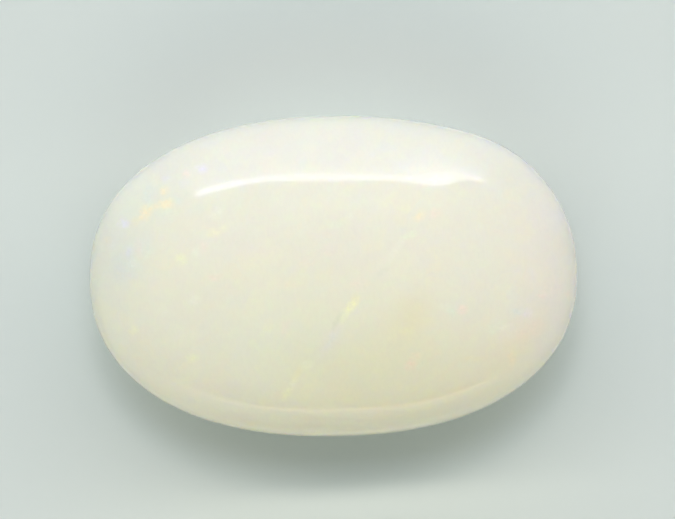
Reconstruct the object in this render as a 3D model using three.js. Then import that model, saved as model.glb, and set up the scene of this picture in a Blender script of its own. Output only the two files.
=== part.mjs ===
// A loose opal: one oval cabochon, polished all over, lying on its flat back.
//
// Millimetres, +Z up. X runs the long way of the oval and Y the short way. The origin is on the
// surface that the stone lies on, under the middle of its box. The stone is one closed solid: a
// domed crown above the girdle, its widest line, and a rounded back below it that ends in a flat.
//
// The surface is a lathe of unit radius, whose rings are then stretched to the oval. Each
// half of the profile, and the oval itself, is a superellipse: |u|^k + |v|^k = 1.

import * as THREE from "three";

// Driving dimensions
const LENGTH = 15.0;
const WIDTH = 9.86;
const CROWN_HEIGHT = 3.2; // from the girdle up to the top
const BACK_DEPTH = 2.7; // from the girdle down to the flat
const FULL_BACK_DEPTH = 3.35; // as deep as the back would reach if no flat cut it
const FLAT_EDGE_ROUNDING = 0.16; // how far above and below the flat its edge is rounded

// How square each superellipse is: 2 is an ellipse
const OVAL_POWER = 2.25;
const CROWN_POWER = 2.15;
const BACK_POWER = 2.1;

// One corner of the oval was left fuller than the others. In plan it swells by `swell` over
// `reach` radians each side of `angle`, and the crown there stands `lift` proud of its dome.
const FULL_CORNER = { angle: 0.62, reach: 0.26, swell: 0.14 };
const FULL_SHOULDER = { x: 4.86, y: 4.29, long: 1.69, wide: 1.35, turn: -0.26, lift: 0.024 };

// Facets
const AROUND = 96;
const CROWN_RINGS = 20;
const BACK_RINGS = 13;

const HALF_LENGTH = LENGTH / 2;
const HALF_WIDTH = WIDTH / 2;
const QUARTER_TURN = Math.PI / 2;

// A point of the profile: its radius, 1 at the girdle, and its height from the girdle in mm.
// `turn` runs from 0 at the top, over a quarter turn at the girdle, to half a turn below.
function profilePoint(turn) {
  const above = Math.cos(turn) >= 0;
  const power = 2 / (above ? CROWN_POWER : BACK_POWER);
  const radius = Math.abs(Math.sin(turn)) ** power;
  const share = Math.abs(Math.cos(turn)) ** power;
  const height = above ? CROWN_HEIGHT * share : -FULL_BACK_DEPTH * share;
  return new THREE.Vector2(radius, -BACK_DEPTH + clearOfFlat(height + BACK_DEPTH));
}

// Keeps a height at or above zero, turning smoothly into the flat over its edge rounding.
function clearOfFlat(height) {
  const r = FLAT_EDGE_ROUNDING;
  if (height <= -r) return 0;
  if (height >= r) return height;
  return (height + r) ** 2 / (4 * r);
}

// The turn at which the back has come down to the flat.
function turnAtFlat() {
  const share = (BACK_DEPTH + FLAT_EDGE_ROUNDING) / FULL_BACK_DEPTH;
  return Math.PI - Math.acos(share ** (BACK_POWER / 2));
}

// The whole profile, from the middle of the flat out to the girdle and up to the top.
function profile() {
  const points = [new THREE.Vector2(0, -BACK_DEPTH)];
  for (let i = BACK_RINGS; i > 0; i--) {
    const share = i / BACK_RINGS;
    points.push(profilePoint(THREE.MathUtils.lerp(QUARTER_TURN, turnAtFlat(), share)));
  }
  for (let i = CROWN_RINGS; i > 0; i--) {
    points.push(profilePoint((QUARTER_TURN * i) / CROWN_RINGS));
  }
  points.push(new THREE.Vector2(0, CROWN_HEIGHT));
  return points;
}

// How far the oval reaches from its centre in the direction `angle`. Near the middle of the
// stone, where `radius` is small, it is a plain ellipse, so that the top stays round.
function reachOfOval(angle, radius) {
  const c = Math.abs(Math.cos(angle)) / HALF_LENGTH;
  const s = Math.abs(Math.sin(angle)) / HALF_WIDTH;
  const round = 1 / Math.hypot(c, s);
  const square = (c ** OVAL_POWER + s ** OVAL_POWER) ** (-1 / OVAL_POWER);
  const off = (angle - FULL_CORNER.angle) / FULL_CORNER.reach;
  const full = square + FULL_CORNER.swell * Math.exp(-off * off);
  return THREE.MathUtils.lerp(round, full, radius * radius);
}

// How much higher the crown is at a point of the plan because of the full shoulder: a bell
// curve along its long and wide axes, faded out towards the girdle by `share` of the height.
function shoulderLift(x, y, share) {
  const { x: cx, y: cy, long, wide, turn, lift } = FULL_SHOULDER;
  const along = (x - cx) * Math.cos(turn) + (y - cy) * Math.sin(turn);
  const across = (y - cy) * Math.cos(turn) - (x - cx) * Math.sin(turn);
  const bell = Math.exp(-((along / long) ** 2) - (across / wide) ** 2);
  return lift * bell * Math.min(1, Math.max(0, share) * 4);
}

// The whole stone, in the part's frame.
function cabochon() {
  const geometry = new THREE.LatheGeometry(profile(), AROUND).rotateX(QUARTER_TURN);
  const position = geometry.getAttribute("position");
  const point = new THREE.Vector3();
  for (let i = 0; i < position.count; i++) {
    point.fromBufferAttribute(position, i);
    const radius = Math.hypot(point.x, point.y);
    const reach = reachOfOval(Math.atan2(point.y, point.x), radius);
    const x = point.x * reach;
    const y = point.y * reach;
    position.setXYZ(i, x, y, point.z + shoulderLift(x, y, point.z / CROWN_HEIGHT));
  }
  geometry.computeBoundingBox();
  const box = geometry.boundingBox;
  const middle = box.getCenter(new THREE.Vector3());
  geometry.translate(-middle.x, -middle.y, -box.min.z);
  geometry.computeVertexNormals();
  return geometry;
}

const milkyOpal = new THREE.MeshStandardMaterial({
  color: new THREE.Color().setRGB(0.93, 0.92, 0.83, THREE.SRGBColorSpace),
  roughness: 0.08,
  metalness: 0,
});

const opal = new THREE.Mesh(cabochon(), milkyOpal);
opal.name = "opal";

const part = new THREE.Group();
part.name = "loose_opal";
part.add(opal);

export default part;
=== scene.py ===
"""A loose milky opal, lying crown up on its flat back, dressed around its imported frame.

The stone is one oval cabochon: a domed crown over a rounded back, polished all over. Its sheen
comes from the shape and the lamps, and its play of colour from nodes on Object coordinates.
Sizes are in millimetres and turns in degrees, unless a name or comment says otherwise, and
meshes are written in metres.
"""

from __future__ import annotations

import logging
import math
from dataclasses import dataclass
from enum import Enum
from typing import ClassVar

import bpy
import numpy as np
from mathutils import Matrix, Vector

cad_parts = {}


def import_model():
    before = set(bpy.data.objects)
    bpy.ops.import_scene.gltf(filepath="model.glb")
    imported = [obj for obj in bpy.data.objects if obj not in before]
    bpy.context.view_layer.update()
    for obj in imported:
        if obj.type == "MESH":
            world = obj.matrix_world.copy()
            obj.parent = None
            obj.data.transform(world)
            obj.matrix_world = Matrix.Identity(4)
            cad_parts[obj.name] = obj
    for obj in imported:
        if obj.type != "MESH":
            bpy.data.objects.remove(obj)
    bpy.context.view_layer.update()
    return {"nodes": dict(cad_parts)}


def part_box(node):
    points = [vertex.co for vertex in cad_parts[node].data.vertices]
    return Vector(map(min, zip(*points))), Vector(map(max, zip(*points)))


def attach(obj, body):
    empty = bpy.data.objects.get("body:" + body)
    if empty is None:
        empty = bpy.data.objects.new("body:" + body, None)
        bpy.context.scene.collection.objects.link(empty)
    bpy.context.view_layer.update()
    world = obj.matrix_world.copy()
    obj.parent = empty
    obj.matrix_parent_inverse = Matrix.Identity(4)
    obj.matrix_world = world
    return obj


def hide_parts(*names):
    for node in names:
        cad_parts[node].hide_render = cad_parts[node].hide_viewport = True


LOG = logging.getLogger("loose_opal")
MM = 0.001
PER_METRE = 1000.0

Tone = tuple[int, int, int]
Triple = tuple[float, float, float]
Quad = tuple[float, float, float, float]
# The value at which something is full and the one at which it is gone
Edge = tuple[float, float]

# The body's tone by which the fleck colours were judged
PLAIN_BODY: Tone = (241, 240, 228)
# The tints of the lamps that make the long highlight and the thin line low on the dome
BAND_TINT: Triple = (1.0, 1.0, 1.25)
RIM_TINT: Triple = (0.95, 0.98, 1.05)


def linear(tone: Tone) -> Triple:
    """Turns a screen colour into the linear one that a shader takes.

    Each channel c of 0 to 255 becomes ((c / 255 + 0.055) / 1.055) to the power 2.4, or
    c / 255 / 12.92 where c / 255 is under 0.04045.

    Args:
        tone: Red, green and blue from 0 to 255.

    Returns:
        The linear red, green and blue from 0 to 1.
    """
    shares = (c / 255 for c in tone)
    return tuple(s / 12.92 if s < 0.04045 else ((s + 0.055) / 1.055) ** 2.4 for s in shares)


class Fire(Enum):
    """The colours that the opal's flecks throw, as they look on the plain milky body."""

    ORANGE = (255, 242, 218)
    AMBER = (247, 241, 214)
    YELLOW = (250, 250, 220)
    LIME = (246, 250, 222)
    GREEN = (240, 245, 228)
    CYAN = (238, 243, 232)
    BLUE = (235, 239, 234)
    VIOLET = (243, 240, 246)
    PINK = (249, 238, 227)
    MILK = (246, 246, 235)
    SMOKE = (228, 229, 216)

    @property
    def gain(self) -> Quad:
        """How many times as bright as the plain body each channel is, with an alpha of 1."""
        pairs = zip(linear(self.value), linear(PLAIN_BODY))
        return (*(seen / plain for seen, plain in pairs), 1.0)


class Cast(Enum):
    """The broad colours laid over the milky body, as they look on screen, for its own casts and
    also for painted shade and a painted glow.
    """

    CREAM = (247, 247, 228)
    AQUA = (230, 241, 227)
    SLATE = (228, 233, 229)
    LILAC = (242, 234, 241)
    PETAL = (250, 239, 232)
    PEACH = (252, 233, 215)
    APRICOT = (255, 238, 190)
    OCHRE = (239, 232, 199)
    STRAW = (233, 233, 196)

    @property
    def colour(self) -> Quad:
        """The linear colour that a shader takes, with an alpha of 1."""
        return (*linear(self.value), 1.0)


class Seen(Enum):
    """What a lamp does: light surfaces, show in their sheen, or both."""

    LIGHT = "light"
    SHEEN = "sheen"
    BOTH = "both"


class Wire:
    """A shader socket that can be used in Python sums, differences and products."""

    def __init__(self, board: Board, socket: bpy.types.NodeSocket | None) -> None:
        """Keeps the socket and the board that its nodes are on."""
        self.board = board
        self.socket = socket

    def _maths(self, operation: str, first: Wire | float, second: Wire | float) -> Wire:
        """Adds one Math node on two values.

        Args:
            operation: The Math node's operation.
            first: Its first value.
            second: Its second value.

        Returns:
            The node's result.
        """
        return self.board.add("Math", {"operation": operation}, {0: first, 1: second})

    def __add__(self, other: Wire | float) -> Wire:
        """Adds a value to this one."""
        return self._maths("ADD", self, other)

    def __sub__(self, other: Wire | float) -> Wire:
        """Takes a value from this one."""
        return self._maths("SUBTRACT", self, other)

    def __rsub__(self, other: float) -> Wire:
        """Takes this value from a number."""
        return self._maths("SUBTRACT", other, self)

    def __mul__(self, other: Wire | float) -> Wire:
        """Multiplies this value by another."""
        return self._maths("MULTIPLY", self, other)

    __radd__ = __add__
    __rmul__ = __mul__

    def beside(self, output: str) -> Wire:
        """Gives another output of the same node."""
        return Wire(self.board, self.socket.node.outputs[output])


class Board:
    """The node tree of a material or the world, to which nodes are added one by one."""

    def __init__(self, tree: bpy.types.NodeTree) -> None:
        """Clears the tree for new nodes."""
        self.tree = tree
        self.tree.nodes.clear()

    def add(
        self,
        kind: str,
        settings: dict[str, object] | None = None,
        inputs: dict[int | str, object] | None = None,
        output: int | str = 0,
    ) -> Wire:
        """Adds one node, sets it, and fills its sockets.

        Args:
            kind: The node's type without its ShaderNode prefix.
            settings: Properties of the node, set first. "stops" fills a colour ramp.
            inputs: Values or wires by socket name or number.
            output: The output to give back.

        Returns:
            A wire from that output, or an empty one where the node has none.
        """
        node = self.tree.nodes.new("ShaderNode" + kind)
        for name, value in (settings or {}).items():
            if name == "stops":
                self._fill_ramp(node.color_ramp, value)
            else:
                setattr(node, name, value)
        for key, value in (inputs or {}).items():
            if isinstance(value, Wire):
                self.tree.links.new(value.socket, node.inputs[key])
            else:
                node.inputs[key].default_value = value
        return Wire(self, node.outputs[output] if node.outputs else None)

    @staticmethod
    def _fill_ramp(ramp: bpy.types.ColorRamp, stops: list[tuple[float, Triple]]) -> None:
        """Puts colours at their places along a ramp.

        Args:
            ramp: The ramp to fill.
            stops: Pairs of a place from 0 to 1 and a linear colour.
        """
        while len(ramp.elements) > 1:
            ramp.elements.remove(ramp.elements[-1])
        for number, (place, colour) in enumerate(stops):
            element = ramp.elements[0] if number == 0 else ramp.elements.new(place)
            element.position = place
            element.color = (*colour, 1.0)

    def vector(self, operation: str, *values: object, output: int | str = 0) -> Wire:
        """Adds a Vector Math node on the given vectors."""
        return self.add("VectorMath", {"operation": operation}, dict(enumerate(values)), output)

    def local(self, point: Wire, centre: Triple, size: Triple, turn: float) -> Wire:
        """Gives a point in the axes of an ellipsoid.

        The centre is taken away, the turn about Z undone, and each axis divided by its size.

        Args:
            point: The point, in millimetres.
            centre: The ellipsoid's centre.
            size: Its three half axes.
            turn: Its turn about Z in degrees.

        Returns:
            The local point, whose length is 1 on the ellipsoid.
        """
        places = {
            "Vector": point,
            "Location": centre,
            "Rotation": (0.0, 0.0, math.radians(turn)),
            "Scale": size,
        }
        return self.add("Mapping", {"vector_type": "TEXTURE"}, places)

    def turned(self, point: Wire, turn: float) -> Wire:
        """Gives a point in axes turned about Z by `turn` degrees."""
        return self.local(point, (0.0, 0.0, 0.0), (1.0, 1.0, 1.0), turn)

    def bell(self, point: Wire, centre: Triple, size: Triple, turn: float) -> Wire:
        """Gives a bell curve: e to the power of minus the squared distance from its centre.

        The distance is taken in the ellipsoid's own axes.

        Args:
            point: The point, in millimetres.
            centre: The ellipsoid's centre, where the curve is 1.
            size: Its three half axes.
            turn: Its turn about Z in degrees.

        Returns:
            The curve's value at the point.
        """
        place = self.local(point, centre, size, turn)
        squared = self.vector("DOT_PRODUCT", place, place, output="Value")
        return self.add("Math", {"operation": "EXPONENT"}, {0: squared * -1.0})

    def fade(self, value: Wire, full: float, gone: float, most: float = 1.0) -> Wire:
        """Maps a value smoothly from `most` at `full` to 0 at `gone`."""
        ends = {"Value": value, "From Min": full, "From Max": gone, "To Min": most, "To Max": 0.0}
        return self.add("MapRange", {"interpolation_type": "SMOOTHSTEP"}, ends)

    def mix(
        self, share: Wire | float, under: Wire | Quad, over: Wire | Quad, blend: str = "MIX"
    ) -> Wire:
        """Lays one colour over another.

        Args:
            share: How much of the upper colour shows, from 0 to 1.
            under: The lower colour, as a wire or four numbers.
            over: The upper colour, as a wire or four numbers.
            blend: "MIX" to cover the lower colour, or "MULTIPLY" to tint it.

        Returns:
            The mixed colour.
        """
        settings = {"data_type": "RGBA", "blend_type": blend}
        # For colours, the Mix node reads sockets 0, 6 and 7 and gives socket 2
        return self.add("Mix", settings, {0: share, 6: under, 7: over}, output=2)

    def tint(self, share: Wire | float, under: Wire, fire: Fire) -> Wire:
        """Tints a colour by a fire, as much as `share` says."""
        return self.mix(share, under, fire.gain, "MULTIPLY")

    def noise(
        self, point: Wire, size: float, detail: float = 2.0, output: int | str = 0
    ) -> Wire:
        """Adds a noise whose features are about `size` across, in the point's own units."""
        sockets = {"Vector": point, "Scale": 1.0 / size, "Detail": detail}
        return self.add("TexNoise", {}, sockets, output)

    def palette(self, pick: Wire, fires: tuple[Fire, ...]) -> Wire:
        """Picks the gain of one of some fires evenly by a value from 0 to 1."""
        stops = [(i / len(fires), fire.gain[:3]) for i, fire in enumerate(fires)]
        return self.add("ValToRGB", {"stops": stops}, {0: pick})


@dataclass(frozen=True)
class Haze:
    """A soft cloud of colour, an ellipsoid with no edge: the body's own casts, and also painted
    shade and a painted glow.
    """

    centre: Triple
    size: Triple
    turn: float
    cast: Cast
    strength: float

    def lay(self, board: Board, point: Wire, under: Wire) -> Wire:
        """Lays the cloud over a colour.

        Its share is its strength times a bell curve about its centre.

        Args:
            board: Where the nodes go.
            point: The point, in millimetres.
            under: The colour below it.

        Returns:
            The colour with the cloud.
        """
        bell = board.bell(point, self.centre, self.size, self.turn)
        return board.mix(bell * self.strength, under, self.cast.colour)


@dataclass(frozen=True)
class Fleck:
    """One patch of fire near the crown's surface, long and thin or nearly round."""

    x: float
    y: float
    long: float
    wide: float
    turn: float
    fire: Fire
    strength: float

    # Where it is full and gone, 1 being its ellipse, and how far it reaches up and down
    EDGE: ClassVar[Edge] = (0.20, 1.75)
    REACH: ClassVar[float] = 1.6

    def lay(
        self, board: Board, turned: Wire, under: Wire, height: float, grain: Wire
    ) -> tuple[Wire, Wire]:
        """Lays the fleck over a colour.

        The turned point is scaled and moved so that its length is 1 on the fleck's ellipse.
        The share falls smoothly from full at the middle to nothing past the ellipse, and is
        broken up by a grain.

        Args:
            board: Where the nodes go.
            turned: The frayed point in the fleck's own turned axes, in millimetres.
            under: The colour below it.
            height: The crown's height there.
            grain: How strong the fire is at each point.

        Returns:
            The colour with the fleck, and the fleck's share.
        """
        cosine = math.cos(math.radians(self.turn))
        sine = math.sin(math.radians(self.turn))
        centre = (self.x * cosine + self.y * sine, self.y * cosine - self.x * sine, height)
        scale = (2 / self.long, 2 / self.wide, 1 / self.REACH)
        move = tuple(-c * k for c, k in zip(centre, scale))
        place = board.vector("MULTIPLY_ADD", turned, scale, move)
        distance = board.vector("LENGTH", place, output="Value")
        share = board.fade(distance, *self.EDGE, self.strength) * grain
        return board.tint(share, under, self.fire), share


@dataclass(frozen=True)
class Patchwork:
    """Soft cells of faint colour all through the stone, a share `lit` of which shows."""

    size: Triple
    turn: float
    shift: Triple
    lit: float
    strength: float
    fires: tuple[Fire, ...]

    # How far the cells run into each other, and how gradually they are chosen
    BLUR: ClassVar[float] = 0.8
    CHOICE: ClassVar[float] = 0.12

    def lay(self, board: Board, point: Wire, under: Wire) -> Wire:
        """Lays the cells over a colour.

        Every cell draws a colour and a second number, and shows where that is under `lit`.

        Args:
            board: Where the nodes go.
            point: The point, in millimetres.
            under: The colour below them.

        Returns:
            The colour with the cells.
        """
        place = board.local(point, self.shift, self.size, self.turn)
        sockets = {"Vector": place, "Scale": 1.0, "Smoothness": self.BLUR}
        cells = board.add("TexVoronoi", {"feature": "SMOOTH_F1"}, sockets, "Color")
        draws = board.add("SeparateColor", {}, {0: cells}, "Red")
        choice = (self.lit - self.CHOICE, self.lit + self.CHOICE)
        share = board.fade(draws.beside("Green"), *choice, self.strength)
        return board.mix(share, under, board.palette(draws, self.fires), "MULTIPLY")


@dataclass(frozen=True)
class Sparks:
    """Small crisp flecks that gather in zones, for the parts that no single fleck is named for."""

    size: Triple
    turn: float
    shift: Triple
    lit: float
    strength: float
    zone: float
    fires: tuple[Fire, ...]

    # Where a fleck is full and gone in its cell, how gradually cells are chosen, and a
    # zone's edge in its noise
    EDGE: ClassVar[Edge] = (0.20, 0.48)
    CHOICE: ClassVar[float] = 0.03
    ZONE_EDGE: ClassVar[Edge] = (0.60, 0.46)

    def lay(self, board: Board, point: Wire, under: Wire, room: Wire) -> Wire:
        """Lays the flecks over a colour.

        A fleck fills the middle of its cell. It shows where the cell's second number is under
        `lit`, and where a broad noise makes a zone.

        Args:
            board: Where the nodes go.
            point: The frayed point, in millimetres.
            under: The colour below them.
            room: How much the flecks may show at each point.

        Returns:
            The colour with the flecks.
        """
        place = board.local(point, self.shift, self.size, self.turn)
        cells = board.add("TexVoronoi", {}, {"Vector": place, "Scale": 1.0}, "Distance")
        draws = board.add("SeparateColor", {}, {0: cells.beside("Color")}, "Red")
        inside = board.fade(cells, *self.EDGE, self.strength)
        shown = board.fade(draws.beside("Green"), self.lit - self.CHOICE, self.lit + self.CHOICE)
        moved = board.vector("ADD", point, self.shift)
        zone = board.fade(board.noise(moved, self.zone, detail=1.0), *self.ZONE_EDGE)
        share = inside * shown * zone * room
        return board.mix(share, under, board.palette(draws, self.fires), "MULTIPLY")


@dataclass(frozen=True)
class Swell:
    """A place where the hand polish left the crown a little proud or low, a bell in plan."""

    x: float
    y: float
    long: float
    wide: float
    turn: float
    lift: float

    def lift_at(self, x: np.ndarray, y: np.ndarray) -> np.ndarray:
        """Gives the extra height at points of the plan, which is negative at a low place.

        It is the lift times e to the power of minus the squared distances along and across.

        Args:
            x: The points' X.
            y: The points' Y.

        Returns:
            The extra heights.
        """
        turn = math.radians(self.turn)
        along = (x - self.x) * math.cos(turn) + (y - self.y) * math.sin(turn)
        across = (y - self.y) * math.cos(turn) - (x - self.x) * math.sin(turn)
        return self.lift * np.exp(-((along / self.long) ** 2) - (across / self.wide) ** 2)


# Broad soft colour in the body, with painted shade and a painted glow: the centre, size, turn,
# cast and strength of each haze
HAZES_AND_PAINTED_LIGHT = (
    Haze((-6.6, 1.2, 3.5), (1.9, 2.4, 2.5), 0, Cast.AQUA, 0.32),
    Haze((-6.6, 0.7, 3.5), (0.7, 0.9, 2.0), 0, Cast.SLATE, 0.50),
    Haze((-2.9, 2.3, 4.8), (1.7, 0.5, 1.5), 10, Cast.AQUA, 0.25),
    # Painted highlight: a pale cream strip just below the long highlight, standing in for its glow
    Haze((1.0, 2.3, 5.2), (3.2, 0.5, 1.5), 0, Cast.CREAM, 0.50),
    Haze((-1.6, -2.0, 5.0), (3.2, 1.4, 2.5), 0, Cast.AQUA, 0.36),
    Haze((-1.5, -0.4, 5.4), (3.6, 1.3, 2.5), 0, Cast.STRAW, 0.12),
    Haze((0.0, -1.8, 5.5), (0.60, 0.30, 1.5), 50, Cast.LILAC, 0.35),
    Haze((2.4, -1.2, 5.5), (0.9, 0.55, 1.5), 60, Cast.OCHRE, 0.45),
    # Painted shade, these three: a warm yellow along the lower side, partly the body's own cast
    # and partly the yellow that the shaded lower side takes on
    Haze((1.0, -2.6, 4.8), (3.2, 1.5, 2.5), 5, Cast.STRAW, 0.44),
    Haze((2.6, -3.6, 3.5), (3.4, 1.0, 2.0), 8, Cast.OCHRE, 0.35),
    Haze((-1.5, -4.4, 2.5), (5.5, 1.1, 2.2), 0, Cast.OCHRE, 0.30),
    Haze((5.8, -1.8, 4.2), (1.0, 0.5, 1.8), 40, Cast.PEACH, 0.40),
    Haze((5.2, -2.6, 4.0), (1.0, 0.6, 1.8), 35, Cast.APRICOT, 0.16),
    Haze((6.8, -0.2, 3.2), (1.3, 3.2, 2.5), 0, Cast.PETAL, 0.75),
)

# The flecks that can be told apart: each one's X and Y, length, width, turn, fire and strength
NAMED_FLECKS = (
    # The chain of orange at the upper left
    Fleck(-5.11, 2.70, 0.30, 0.24, 40, Fire.ORANGE, 0.70),
    Fleck(-5.05, 2.31, 0.42, 0.30, 20, Fire.ORANGE, 0.85),
    Fleck(-5.42, 2.22, 0.36, 0.20, 30, Fire.ORANGE, 0.40),
    Fleck(-5.72, 2.03, 0.42, 0.32, 60, Fire.ORANGE, 0.95),
    Fleck(-6.02, 1.75, 0.34, 0.22, 55, Fire.AMBER, 0.35),
    Fleck(-6.89, 1.23, 0.26, 0.24, 0, Fire.AMBER, 0.40),
    # The blue, violet and pink about the chain
    Fleck(-5.63, 2.58, 0.50, 0.30, 80, Fire.BLUE, 0.65),
    Fleck(-5.42, 3.02, 0.50, 0.20, 90, Fire.MILK, 0.35),
    Fleck(-5.05, 3.05, 0.28, 0.22, 0, Fire.VIOLET, 0.42),
    Fleck(-4.43, 3.20, 0.26, 0.24, 0, Fire.PINK, 0.65),
    Fleck(-3.97, 3.35, 0.32, 0.28, 0, Fire.VIOLET, 0.90),
    Fleck(-6.40, 1.72, 0.32, 0.26, 0, Fire.VIOLET, 0.85),
    Fleck(-6.22, 0.89, 0.32, 0.24, 70, Fire.VIOLET, 0.35),
    Fleck(-4.75, 2.37, 0.36, 0.24, 0, Fire.CYAN, 0.50),
    Fleck(-5.02, 1.98, 0.55, 0.38, 0, Fire.CYAN, 0.50),
    Fleck(-5.66, 0.92, 0.56, 0.30, 80, Fire.CYAN, 0.60),
    Fleck(-5.94, 0.98, 0.60, 0.22, 90, Fire.PINK, 0.35),
    Fleck(-6.35, 0.38, 0.90, 0.70, 70, Fire.BLUE, 0.45),
    Fleck(-6.75, 0.98, 0.40, 0.24, 90, Fire.MILK, 0.40),
    Fleck(-6.12, 0.49, 0.26, 0.24, 0, Fire.MILK, 0.60),
    # The loose specks to the right of the chain
    Fleck(-4.64, 0.58, 0.34, 0.32, 0, Fire.LIME, 0.65),
    Fleck(-3.65, 1.38, 0.38, 0.24, 20, Fire.YELLOW, 0.45),
    Fleck(-3.33, 1.50, 0.34, 0.22, 40, Fire.LIME, 0.40),
    Fleck(-3.94, 0.98, 0.34, 0.26, 70, Fire.PINK, 0.55),
    Fleck(-4.18, 0.80, 0.24, 0.24, 0, Fire.MILK, 0.50),
    Fleck(-3.57, 1.97, 0.44, 0.28, 30, Fire.MILK, 0.60),
    Fleck(-3.60, 0.03, 0.42, 0.22, 10, Fire.PINK, 0.60),
    # The seam that runs down from the middle to the lower left
    Fleck(0.68, -0.72, 0.36, 0.28, 60, Fire.AMBER, 0.40),
    Fleck(0.54, -0.93, 0.46, 0.24, 50, Fire.YELLOW, 0.90),
    Fleck(0.34, -1.22, 0.44, 0.18, 60, Fire.LIME, 0.60),
    Fleck(0.09, -1.38, 0.50, 0.14, 62, Fire.SMOKE, 0.45),
    Fleck(0.02, -1.72, 0.44, 0.20, 60, Fire.VIOLET, 0.20),
    Fleck(-0.08, -1.95, 0.56, 0.32, 50, Fire.BLUE, 0.45),
    Fleck(-0.35, -2.32, 0.57, 0.24, 50, Fire.VIOLET, 0.15),
    Fleck(-0.85, -2.69, 0.34, 0.24, 0, Fire.MILK, 0.60),
    Fleck(-1.16, -2.98, 0.50, 0.20, 60, Fire.AMBER, 0.35),
    Fleck(-1.30, -3.26, 0.46, 0.18, 60, Fire.MILK, 0.55),
    Fleck(-1.50, -3.56, 0.42, 0.24, 50, Fire.YELLOW, 0.55),
    # Where the seam comes up again at the upper right
    Fleck(2.67, 1.79, 0.36, 0.28, 30, Fire.ORANGE, 0.55),
    Fleck(3.12, 1.86, 0.38, 0.28, 20, Fire.PINK, 0.55),
    Fleck(2.20, 2.02, 0.42, 0.22, 0, Fire.LIME, 0.25),
    Fleck(2.34, 1.20, 0.46, 0.22, 20, Fire.GREEN, 0.90),
    Fleck(2.14, 1.34, 0.32, 0.20, 40, Fire.BLUE, 0.35),
    Fleck(1.95, 0.80, 1.00, 0.18, 55, Fire.MILK, 0.35),
    Fleck(1.55, 0.15, 0.80, 0.16, 40, Fire.SMOKE, 0.18),
    # Faint pink and green over the middle
    Fleck(-0.20, 0.78, 0.70, 0.34, 10, Fire.PINK, 0.35),
    Fleck(-0.68, 0.48, 0.60, 0.30, 10, Fire.PINK, 0.30),
    Fleck(0.78, -0.28, 0.55, 0.34, 10, Fire.PINK, 0.45),
    Fleck(-1.38, -0.26, 0.54, 0.28, 0, Fire.PINK, 0.30),
    Fleck(-1.48, -1.58, 0.50, 0.26, 90, Fire.PINK, 0.40),
    Fleck(0.12, 1.57, 0.54, 0.24, 5, Fire.GREEN, 0.45),
    Fleck(0.52, 1.82, 0.24, 0.22, 0, Fire.MILK, 0.40),
    # The lower right
    Fleck(3.91, -1.08, 0.32, 0.28, 0, Fire.PINK, 0.95),
    Fleck(3.60, -1.12, 0.34, 0.26, 0, Fire.CYAN, 0.70),
    Fleck(3.38, -0.98, 0.32, 0.20, 0, Fire.MILK, 0.35),
    Fleck(5.60, -1.20, 0.38, 0.24, 20, Fire.BLUE, 0.65),
    Fleck(5.90, -1.25, 0.38, 0.30, 0, Fire.VIOLET, 0.42),
    Fleck(5.17, -1.67, 0.60, 0.16, 20, Fire.MILK, 0.60),
    Fleck(5.35, -1.86, 0.56, 0.30, 30, Fire.VIOLET, 0.20),
    Fleck(4.90, -1.62, 0.48, 0.30, 40, Fire.CYAN, 0.50),
    Fleck(6.00, -1.70, 0.80, 0.50, 20, Fire.PINK, 0.35),
    Fleck(6.37, -0.71, 0.28, 0.26, 0, Fire.PINK, 0.60),
    Fleck(6.70, -0.50, 0.90, 0.80, 0, Fire.PINK, 0.25),
    Fleck(5.42, -2.58, 0.54, 0.24, 90, Fire.ORANGE, 0.35),
    Fleck(2.31, -2.74, 0.38, 0.28, 40, Fire.PINK, 0.90),
    Fleck(2.49, -2.46, 0.28, 0.24, 0, Fire.PINK, 0.65),
    Fleck(2.62, -2.77, 0.44, 0.16, 50, Fire.CYAN, 0.50),
    Fleck(2.20, -1.72, 0.36, 0.24, 0, Fire.LIME, 0.30),
    Fleck(4.20, -2.60, 0.80, 0.20, 0, Fire.AMBER, 0.30),
    Fleck(7.25, -0.68, 0.30, 0.26, 90, Fire.PINK, 0.50),
    # The lower left
    Fleck(-6.14, -1.54, 0.32, 0.24, 30, Fire.YELLOW, 0.50),
    Fleck(-5.23, -0.95, 0.32, 0.28, 0, Fire.MILK, 0.30),
    Fleck(-4.25, -1.72, 0.40, 0.30, 0, Fire.MILK, 0.25),
    Fleck(-4.36, -2.42, 0.32, 0.24, 0, Fire.LIME, 0.45),
    Fleck(-4.22, -0.66, 0.34, 0.26, 0, Fire.MILK, 0.60),
    Fleck(-2.03, -1.58, 0.50, 0.30, 40, Fire.LIME, 0.30),
)

# A broad patchwork and a fine one
PATCHWORKS = (
    Patchwork(
        size=(0.75, 0.55, 0.75),
        turn=50,
        shift=(1.3, 4.2, 0.4),
        lit=0.55,
        strength=0.11,
        fires=(Fire.PINK, Fire.AMBER, Fire.GREEN, Fire.CYAN, Fire.MILK, Fire.YELLOW),
    ),
    Patchwork(
        size=(0.36, 0.26, 0.40),
        turn=55,
        shift=(7.1, 0.7, 2.9),
        lit=0.40,
        strength=0.08,
        fires=(Fire.GREEN, Fire.VIOLET, Fire.PINK, Fire.YELLOW, Fire.BLUE, Fire.ORANGE),
    ),
)

# Warm sparks, and larger cool ones
SPARKS = (
    Sparks(
        size=(0.42, 0.26, 0.34),
        turn=52,
        shift=(3.7, 1.9, 5.3),
        lit=0.22,
        strength=0.90,
        zone=2.6,
        fires=(Fire.ORANGE, Fire.YELLOW, Fire.LIME, Fire.PINK),
    ),
    Sparks(
        size=(0.60, 0.40, 0.50),
        turn=48,
        shift=(9.4, 6.1, 0.8),
        lit=0.25,
        strength=0.80,
        zone=3.2,
        fires=(Fire.BLUE, Fire.CYAN, Fire.VIOLET, Fire.GREEN),
    ),
)


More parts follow.
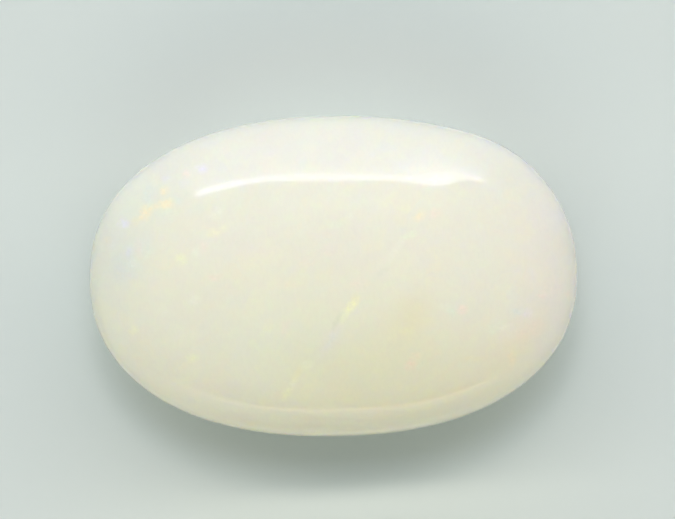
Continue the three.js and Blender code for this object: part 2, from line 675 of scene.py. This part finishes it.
@dataclass(frozen=True)
class MilkyOpal:
    """The finish: a glassy polish over a milky body that light soaks into."""

    # The body's colour, and the thin clouds of cream in it
    body: Tone = (241, 240, 226)
    cloud_size: float = 3.0
    cloud_edge: Edge = (0.65, 0.40)
    cloud_strength: float = 0.25
    # How deep light soaks in, in all and in each channel, and how much the surface bends it
    soak_mm: float = 2.4
    soak_tint: Triple = (1.0, 0.87, 0.45)
    bend: float = 1.45
    # The polish, and the one place on the crown where it is finer
    roughness: float = 0.10
    best_polish: Triple = (3.7, 2.9, 5.0)
    best_polish_size: Triple = (1.8, 1.0, 2.0)
    best_polish_drop: float = 0.055
    # How far the patchworks are stirred and the flecks are frayed, and how finely
    swirl: float = 0.30
    swirl_size: float = 0.55
    fray: float = 0.07
    fray_size: float = 0.15
    # How strong the fire is in the bright grains of a fleck, and how much less in the dull ones
    grain_size: float = 0.15
    grain_full: float = 1.1
    grain_edge: Edge = (0.40, 0.60)
    grain_depth: float = 0.45
    # The light glints and dark pits in the flecks
    glint_size: float = 0.10
    glint_edge: Edge = (0.62, 0.50)
    glint_strength: float = 0.45
    pit_edge: Edge = (0.36, 0.46)
    pit_strength: float = 0.25
    # The faint long marks, light and dark, all over the stone
    mark_size: Triple = (0.09, 0.20, 0.14)
    mark_turn: float = 8.0
    light_mark_edge: Edge = (0.66, 0.50)
    dark_mark_edge: Edge = (0.34, 0.50)
    mark_strength: float = 0.07
    # The most that a channel of the colour may be
    brightest: float = 0.98
    # The height over the flat below which the sparks are full, and above which they are gone
    spark_heights: Edge = (2.0, 2.7)

    def dress(self, stone: Cabochon, piece: bpy.types.Object) -> None:
        """Makes the material and gives it to the piece.

        Args:
            stone: The stone, for the height of its crown.
            piece: The object to dress.
        """
        material = bpy.data.materials.new("milky_opal")
        material.use_nodes = True
        board = Board(material.node_tree)
        spot = board.add("TexCoord", output="Object")
        point = board.vector("MULTIPLY", spot, (PER_METRE,) * 3)
        swirled = self._stirred(board, point, self.swirl, self.swirl_size)
        frayed = self._stirred(board, point, self.fray, self.fray_size)
        colour = self._body_colour(board, point, swirled)
        colour = self._fire(board, point, frayed, colour, stone)
        sockets = {
            "Base Color": colour,
            "Roughness": self._roughness(board, point),
            "IOR": self.bend,
            "Subsurface Weight": 1.0,
            "Subsurface Radius": self.soak_tint,
            "Subsurface Scale": self.soak_mm * MM,
        }
        shader = board.add("BsdfPrincipled", {"subsurface_method": "RANDOM_WALK"}, sockets)
        board.add("OutputMaterial", {}, {"Surface": shader})
        piece.data.materials.append(material)

    @staticmethod
    def _stirred(board: Board, point: Wire, far: float, size: float) -> Wire:
        """Moves a point by a noise, which frays every edge that is drawn on it.

        The move on each axis is twice `far` times the noise less a half.

        Args:
            board: Where the nodes go.
            point: The point, in millimetres.
            far: The most that the point moves along each axis.
            size: How broad the noise is.

        Returns:
            The moved point.
        """
        rough = board.noise(point, size, detail=3.0, output="Color")
        push = board.vector("SUBTRACT", rough, (0.5, 0.5, 0.5))
        push = board.vector("MULTIPLY", push, (far * 2,) * 3)
        return board.vector("ADD", point, push)

    def _body_colour(self, board: Board, point: Wire, swirled: Wire) -> Wire:
        """Gives the milky body: a plain colour with thin clouds, soft patches and hazes, some of
        which are painted shade and glow.

        Args:
            board: Where the nodes go.
            point: The point, in millimetres.
            swirled: The point stirred by a broad noise.

        Returns:
            The body's colour.
        """
        noise = board.noise(point, self.cloud_size)
        cloud = board.fade(noise, *self.cloud_edge, self.cloud_strength)
        colour = board.mix(cloud, (*linear(self.body), 1.0), Cast.CREAM.colour)
        for haze in HAZES_AND_PAINTED_LIGHT:
            colour = haze.lay(board, point, colour)
        for patchwork in PATCHWORKS:
            colour = patchwork.lay(board, swirled, colour)
        return colour

    def _fire(
        self, board: Board, point: Wire, frayed: Wire, colour: Wire, stone: Cabochon
    ) -> Wire:
        """Lays the crisp flecks over the body.

        Args:
            board: Where the nodes go.
            point: The point, in millimetres.
            frayed: The frayed point.
            colour: The body's colour.
            stone: The stone, for the height of its crown.

        Returns:
            The stone's colour.
        """
        noise = board.noise(point, self.grain_size, detail=1.0)
        grain = self.grain_full - board.fade(noise, *self.grain_edge, self.grain_depth)
        height = board.add("SeparateXYZ", {}, {0: point}, "Z")
        room = board.fade(height, *self.spark_heights)
        for sparks in SPARKS:
            colour = sparks.lay(board, frayed, colour, room)
        turns = sorted({fleck.turn for fleck in NAMED_FLECKS})
        turned = {turn: board.turned(frayed, turn) for turn in turns}
        lit: Wire | float = 0.0
        for fleck in NAMED_FLECKS:
            crown = stone.height_at(fleck.x, fleck.y)
            colour, share = fleck.lay(board, turned[fleck.turn], colour, crown, grain)
            lit = lit + share
        return self._marks(board, point, frayed, colour, lit)

    def _marks(self, board: Board, point: Wire, frayed: Wire, colour: Wire, lit: Wire) -> Wire:
        """Lays fine light and dark marks over a colour, most of them in the flecks.

        Args:
            board: Where the nodes go.
            point: The point, in millimetres.
            frayed: The frayed point.
            colour: The colour below them.
            lit: How much of each point its flecks cover.

        Returns:
            The colour with the marks.
        """
        fine = board.noise(frayed, self.glint_size)
        along = board.local(point, (0.0, 0.0, 0.0), self.mark_size, self.mark_turn)
        drawn_out = board.noise(along, size=1.0)
        glints = board.fade(fine, *self.glint_edge, self.glint_strength) * lit
        pits = board.fade(fine, *self.pit_edge, self.pit_strength) * lit
        glints = glints + board.fade(drawn_out, *self.light_mark_edge, self.mark_strength)
        pits = pits + board.fade(drawn_out, *self.dark_mark_edge, self.mark_strength)
        marked = board.tint(pits, board.tint(glints, colour, Fire.MILK), Fire.SMOKE)
        return board.vector("MINIMUM", marked, (self.brightest,) * 3)

    def _roughness(self, board: Board, point: Wire) -> Wire:
        """Gives the polish: even, but finer at one place by a bell curve."""
        bell = board.bell(point, self.best_polish, self.best_polish_size, 0.0)
        return self.roughness - bell * self.best_polish_drop


@dataclass
class Cabochon:
    """The stone: its sizes, its surface and its mesh."""

    length: float
    width: float
    height: float
    # Up from the girdle, down from it if no flat cut the back, and about the flat's edge
    crown_height: float = 3.2
    full_back_depth: float = 3.35
    flat_edge_rounding: float = 0.16
    # How square each superellipse is: 2 is an ellipse
    oval_power: float = 2.25
    crown_power: float = 2.15
    back_power: float = 2.1
    # The oval's one fuller corner: its angle and reach in radians, and its swell
    corner_angle: float = 0.62
    corner_reach: float = 0.26
    corner_swell: float = 0.14
    # How fine the mesh is
    around: int = 384
    crown_rings: int = 120
    back_rings: int = 70
    flat_rings: int = 12
    # The share of the crown's height, up from the girdle, over which the swells come in
    swell_fade: float = 0.25
    # The full shoulder, and then the low and proud places that the hand polish left: the X
    # and Y, length, width, turn and lift of each
    swells: tuple[Swell, ...] = (
        Swell(4.86, 4.29, 1.69, 1.35, -15, 0.024),
        Swell(4.10, 2.71, 3.10, 0.42, -18, -0.025),
        Swell(3.05, 4.25, 2.90, 0.65, 40, 0.019),
        Swell(0.35, 3.33, 2.40, 0.60, 2, -0.027),
        Swell(-2.60, 3.40, 0.90, 0.50, 12, 0.007),
        Swell(2.92, 3.08, 0.38, 0.60, -26, -0.009),
    )

    # How a radius is found from a place in plan: the first guess, and how often it is mended
    FIRST_RADIUS: ClassVar[float] = 0.5
    ROUNDS: ClassVar[int] = 12

    @classmethod
    def from_frame(cls, node: str) -> Cabochon:
        """Sizes the stone to the box of its CAD node.

        Args:
            node: The node's name.

        Returns:
            The stone, not built yet.
        """
        low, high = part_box(node)
        length, width, height = (high - low) * PER_METRE
        return cls(length, width, height)

    @property
    def back_depth(self) -> float:
        """How far the flat lies below the girdle."""
        return self.height - self.crown_height

    def profile(self) -> tuple[np.ndarray, np.ndarray]:
        """Gives the profile from the crown's top to the middle of the flat, without its ends.

        At a turn t from the top, the radius is sin t to the power 2 / k and the height is the
        crown's or the back's depth times cos t to the same power, where k is the half's
        squareness. Below the girdle the height is kept above the flat, whose edge is a
        parabola over the edge rounding, and then the flat's rings shrink to the middle.

        Returns:
            The radii, where 1 is the girdle, and the heights above the flat.
        """
        quarter = math.pi / 2
        rounding = self.flat_edge_rounding
        share = (self.back_depth + rounding) / self.full_back_depth
        at_flat = math.pi - math.acos(share ** (self.back_power / 2))
        crown = np.linspace(0, quarter, self.crown_rings + 1)[1:]
        back = np.linspace(quarter, at_flat, self.back_rings + 1)[1:]
        crown_radius = np.sin(crown) ** (2 / self.crown_power)
        crown_z = self.crown_height * np.abs(np.cos(crown)) ** (2 / self.crown_power)
        back_radius = np.sin(back) ** (2 / self.back_power)
        below = self.full_back_depth * np.abs(np.cos(back)) ** (2 / self.back_power)
        back_z = self.back_depth - below
        eased = (np.clip(back_z, -rounding, rounding) + rounding) ** 2 / (4 * rounding)
        back_z = np.where(back_z > rounding, back_z, eased)
        flat_radius = np.linspace(back_radius[-1], 0, self.flat_rings + 1)[1:-1]
        radius = np.concatenate([crown_radius, back_radius, flat_radius])
        z = np.concatenate([crown_z + self.back_depth, back_z, np.zeros(len(flat_radius))])
        return radius, z

    def reach(self, angle: np.ndarray, radius: np.ndarray) -> np.ndarray:
        """Gives how far the oval reaches from its centre in a direction.

        The edge is a superellipse with one fuller corner, a bell curve about its angle. It
        turns into a plain ellipse towards the middle, by the squared radius.

        Args:
            angle: The directions in radians.
            radius: The radii, where 1 is the girdle.

        Returns:
            The reaches in millimetres.
        """
        c = np.abs(np.cos(angle)) / (self.length / 2)
        s = np.abs(np.sin(angle)) / (self.width / 2)
        plain = 1 / np.hypot(c, s)
        square = (c**self.oval_power + s**self.oval_power) ** (-1 / self.oval_power)
        off = (angle - self.corner_angle) / self.corner_reach
        full = square + self.corner_swell * np.exp(-(off**2))
        return plain + (full - plain) * radius**2

    def crown_lift(self, x: np.ndarray, y: np.ndarray, z: np.ndarray) -> np.ndarray:
        """Gives the swells' extra height, which fades out towards the girdle."""
        share = np.clip((z - self.back_depth) / self.crown_height / self.swell_fade, 0, 1)
        return share * sum(swell.lift_at(x, y) for swell in self.swells)

    def surface(self) -> np.ndarray:
        """Gives the surface as rings of points.

        Each point lies at its angle round Z, at its profile radius times the oval's reach.

        Returns:
            Points in millimetres, by ring from the top, then around, then X, Y and Z.
        """
        radius, z = self.profile()
        angle = np.linspace(-math.pi, math.pi, self.around, endpoint=False)
        radius, angle = np.meshgrid(radius, angle, indexing="ij")
        out = radius * self.reach(angle, radius)
        x = out * np.cos(angle)
        y = out * np.sin(angle)
        z = np.broadcast_to(z[:, None], x.shape)
        return np.stack([x, y, z + self.crown_lift(x, y, z)], axis=-1)

    def height_at(self, x: float, y: float) -> float:
        """Gives the crown's height above the flat at a point of the plan, without the swells.

        The profile radius there is found from the distance and the reach by repetition, and
        the height is the crown's times (1 - radius to the power k) to the power 1 / k.

        Args:
            x: The point's X.
            y: The point's Y.

        Returns:
            The height in millimetres.
        """
        angle = np.array(math.atan2(y, x))
        distance = math.hypot(x, y)
        radius = np.array(self.FIRST_RADIUS)
        for _ in range(self.ROUNDS):
            radius = np.minimum(distance / self.reach(angle, radius), 1.0)
        share = (1 - float(radius) ** self.crown_power) ** (1 / self.crown_power)
        return self.back_depth + self.crown_height * share

    def build(self) -> bpy.types.Object:
        """Makes the stone as one closed mesh, with a single point at each pole.

        Returns:
            The stone's object, at the origin.
        """
        rings = self.surface()
        count, around = rings.shape[:2]
        # The top is point 0 and the middle of the flat point 1, and the rings follow
        poles = np.array([[0, 0, self.height], [0, 0, 0]])
        points = np.concatenate([poles, rings.reshape(-1, 3)]) * MM
        ids = len(poles) + np.arange(count * around).reshape(count, around)
        beside = np.roll(ids, -1, axis=1)
        quads = np.stack([ids[:-1], ids[1:], beside[1:], beside[:-1]], axis=-1).reshape(-1, 4)
        top = np.stack([np.zeros(around, int), ids[0], beside[0]], axis=-1)
        bottom = np.stack([np.ones(around, int), beside[-1], ids[-1]], axis=-1)
        mesh = bpy.data.meshes.new("opal_stone")
        mesh.from_pydata(points, [], [*quads.tolist(), *top.tolist(), *bottom.tolist()])
        mesh.shade_smooth()
        mesh.update()
        stone = bpy.data.objects.new("opal_stone", mesh)
        bpy.context.scene.collection.objects.link(stone)
        return stone


@dataclass(frozen=True)
class Softbox:
    """A soft lamp: a glowing rectangle that faces the stone.

    Its azimuth is in degrees from +Y towards +X, its elevation in degrees above the floor,
    and `slide` is how far it then moves along its own width.
    """

    name: str
    azimuth: float
    elevation: float
    distance: float
    width: float
    tall: float
    glow: float
    seen: Seen
    tint: Triple
    slide: float = 0.0

    def place(self) -> None:
        """Makes the lamp.

        Its power is its glow times its area times pi, so that the glow is what a mirror shows.
        """
        lamp = bpy.data.lights.new(self.name, "AREA")
        lamp.shape = "RECTANGLE"
        lamp.size = self.width * MM
        lamp.size_y = self.tall * MM
        lamp.energy = self.glow * math.pi * lamp.size * lamp.size_y
        lamp.color = self.tint
        around = math.radians(self.azimuth)
        up = math.radians(self.elevation)
        level = math.cos(up)
        away = Vector((math.sin(around) * level, math.cos(around) * level, math.sin(up)))
        along = Vector((math.cos(around), -math.sin(around), 0.0))
        holder = bpy.data.objects.new(self.name, lamp)
        holder.location = (away * self.distance + along * self.slide) * MM
        holder.rotation_euler = (-away).to_track_quat("-Z", "Y").to_euler()
        holder.visible_camera = False
        holder.visible_glossy = self.seen is not Seen.LIGHT
        holder.visible_diffuse = self.seen is not Seen.SHEEN
        bpy.context.scene.collection.objects.link(holder)


@dataclass(frozen=True)
class Studio:
    """The plain pale floor, the air's even light and the lamps."""

    floor_tone: Triple = (0.676, 0.740, 0.710)
    floor_roughness: float = 0.9
    floor_size: float = 4000.0
    air_glow: float = 0.10
    air_tint: Triple = (0.95, 1.02, 1.05)
    # Each lamp's azimuth, elevation, distance, width, height, glow, use, tint and slide
    lamps: tuple[Softbox, ...] = (
        # The main light, and the fill from the opposite side
        Softbox("key", -2.5, 62, 400, 60, 50, 13.5, Seen.LIGHT, (1.08, 0.94, 0.88)),
        Softbox("key_tube", -2.5, 62, 400, 4000, 50, 8.6, Seen.LIGHT, (1.0, 0.93, 0.83)),
        Softbox("key_top", -2.5, 70, 400, 150, 100, 4.7, Seen.LIGHT, (0.90, 0.98, 1.12)),
        Softbox("high_fill", 180, 50, 400, 400, 150, 0.8, Seen.LIGHT, (0.60, 1.08, 1.22)),
        Softbox("low_fill", 180, 35, 400, 400, 150, 1.95, Seen.LIGHT, (1.13, 1.0, 0.88)),
        # What the dome's upper side and its lower rim mirror, both of which light it too
        Softbox("panel", 0, 18, 400, 560, 200, 0.92, Seen.BOTH, (0.88, 1.06, 1.75)),
        Softbox("low_strip", 180, 2.5, 300, 500, 20, 2.2, Seen.BOTH, (1.25, 0.86, 0.46)),
        # The long highlight: a bar, fuller at both ends, with a soft skirt and a patch above it
        Softbox("band", -6, 36.8, 400, 504, 36, 4.4, Seen.SHEEN, BAND_TINT, 72),
        Softbox("band_left", -6, 36.4, 400, 92, 50, 1.5, Seen.SHEEN, BAND_TINT, -136),
        Softbox("band_right", -6, 36.6, 400, 60, 40, 0.7, Seen.SHEEN, BAND_TINT, 168),
        Softbox("band_skirt", -6, 31.7, 400, 516, 30, 1.1, Seen.SHEEN, BAND_TINT, 66),
        Softbox("band_patch", -6, 29.3, 400, 128, 56, 0.85, Seen.SHEEN, BAND_TINT, 178),
        # The thin line low on the dome: each lamp is narrower, so that the line fades outwards
        Softbox("rim_line", 180, 4.9, 30, 42, 5.0, 0.35, Seen.SHEEN, RIM_TINT),
        Softbox("rim_line_core", 180, 4.9, 30, 26, 4.2, 0.30, Seen.SHEEN, RIM_TINT),
        Softbox("rim_line_peak", 180, 4.9, 30, 12, 3.6, 0.40, Seen.SHEEN, RIM_TINT, -3),
    )

    def build(self) -> None:
        """Makes the floor, the world and the lamps."""
        self._lay_floor()
        world = bpy.data.worlds.new("air")
        world.use_nodes = True
        board = Board(world.node_tree)
        sockets = {"Color": (*self.air_tint, 1.0), "Strength": self.air_glow}
        glow = board.add("Background", {}, sockets)
        board.add("OutputWorld", {}, {"Surface": glow})
        bpy.context.scene.world = world
        for lamp in self.lamps:
            lamp.place()

    def _lay_floor(self) -> None:
        """Lays the floor, a square sheet that the stone's flat rests on, with no sheen."""
        half = self.floor_size / 2 * MM
        corners = [(-half, -half, 0), (half, -half, 0), (half, half, 0), (-half, half, 0)]
        mesh = bpy.data.meshes.new("floor")
        mesh.from_pydata(corners, [], [(0, 1, 2, 3)])
        floor = bpy.data.objects.new("floor", mesh)
        bpy.context.scene.collection.objects.link(floor)
        material = bpy.data.materials.new("floor")
        material.use_nodes = True
        board = Board(material.node_tree)
        sockets = {
            "Base Color": (*self.floor_tone, 1.0),
            "Roughness": self.floor_roughness,
            "Specular IOR Level": 0.0,
        }
        shader = board.add("BsdfPrincipled", {}, sockets)
        board.add("OutputMaterial", {}, {"Surface": shader})
        mesh.materials.append(material)


@dataclass(frozen=True)
class PhotoCamera:
    """The camera: it looks straight down on the crown with a long lens.

    The frame width and the aim are in millimetres, and the roll is in degrees.
    """

    frame_width: float = 20.77
    aim_x: float = 0.135
    aim_y: float = 0.505
    roll: float = -1.0
    lens_mm: float = 500.0
    sight_metres: float = 100.0

    def place(self, height: float) -> None:
        """Makes the camera.

        It stands above its aim by the lens length over the sensor width times the frame width.

        Args:
            height: The height of the girdle, where the frame width is measured.
        """
        data = bpy.data.cameras.new("photo_camera")
        data.lens = self.lens_mm
        data.clip_start = MM
        data.clip_end = self.sight_metres
        camera = bpy.data.objects.new("photo_camera", data)
        up = height + data.lens / data.sensor_width * self.frame_width
        camera.location = Vector((self.aim_x, self.aim_y, up)) * MM
        camera.rotation_euler = (0.0, 0.0, math.radians(self.roll))
        bpy.context.scene.collection.objects.link(camera)
        bpy.context.scene.camera = camera


def main() -> None:
    """Builds the stone around its frame, then the studio and the camera."""
    logging.basicConfig(level=logging.INFO, format="%(name)s: %(message)s")
    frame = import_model()
    LOG.info("frame: %s", ", ".join(sorted(frame["nodes"])))

    stone = Cabochon.from_frame("opal")
    piece = stone.build()
    MilkyOpal().dress(stone, piece)
    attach(piece, "root")
    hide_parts("opal")
    LOG.info("%s: %d points", piece.name, len(piece.data.vertices))

    Studio().build()
    PhotoCamera().place(stone.back_depth)
    bpy.context.scene.view_settings.view_transform = "Standard"


if __name__ == "__main__":
    main()
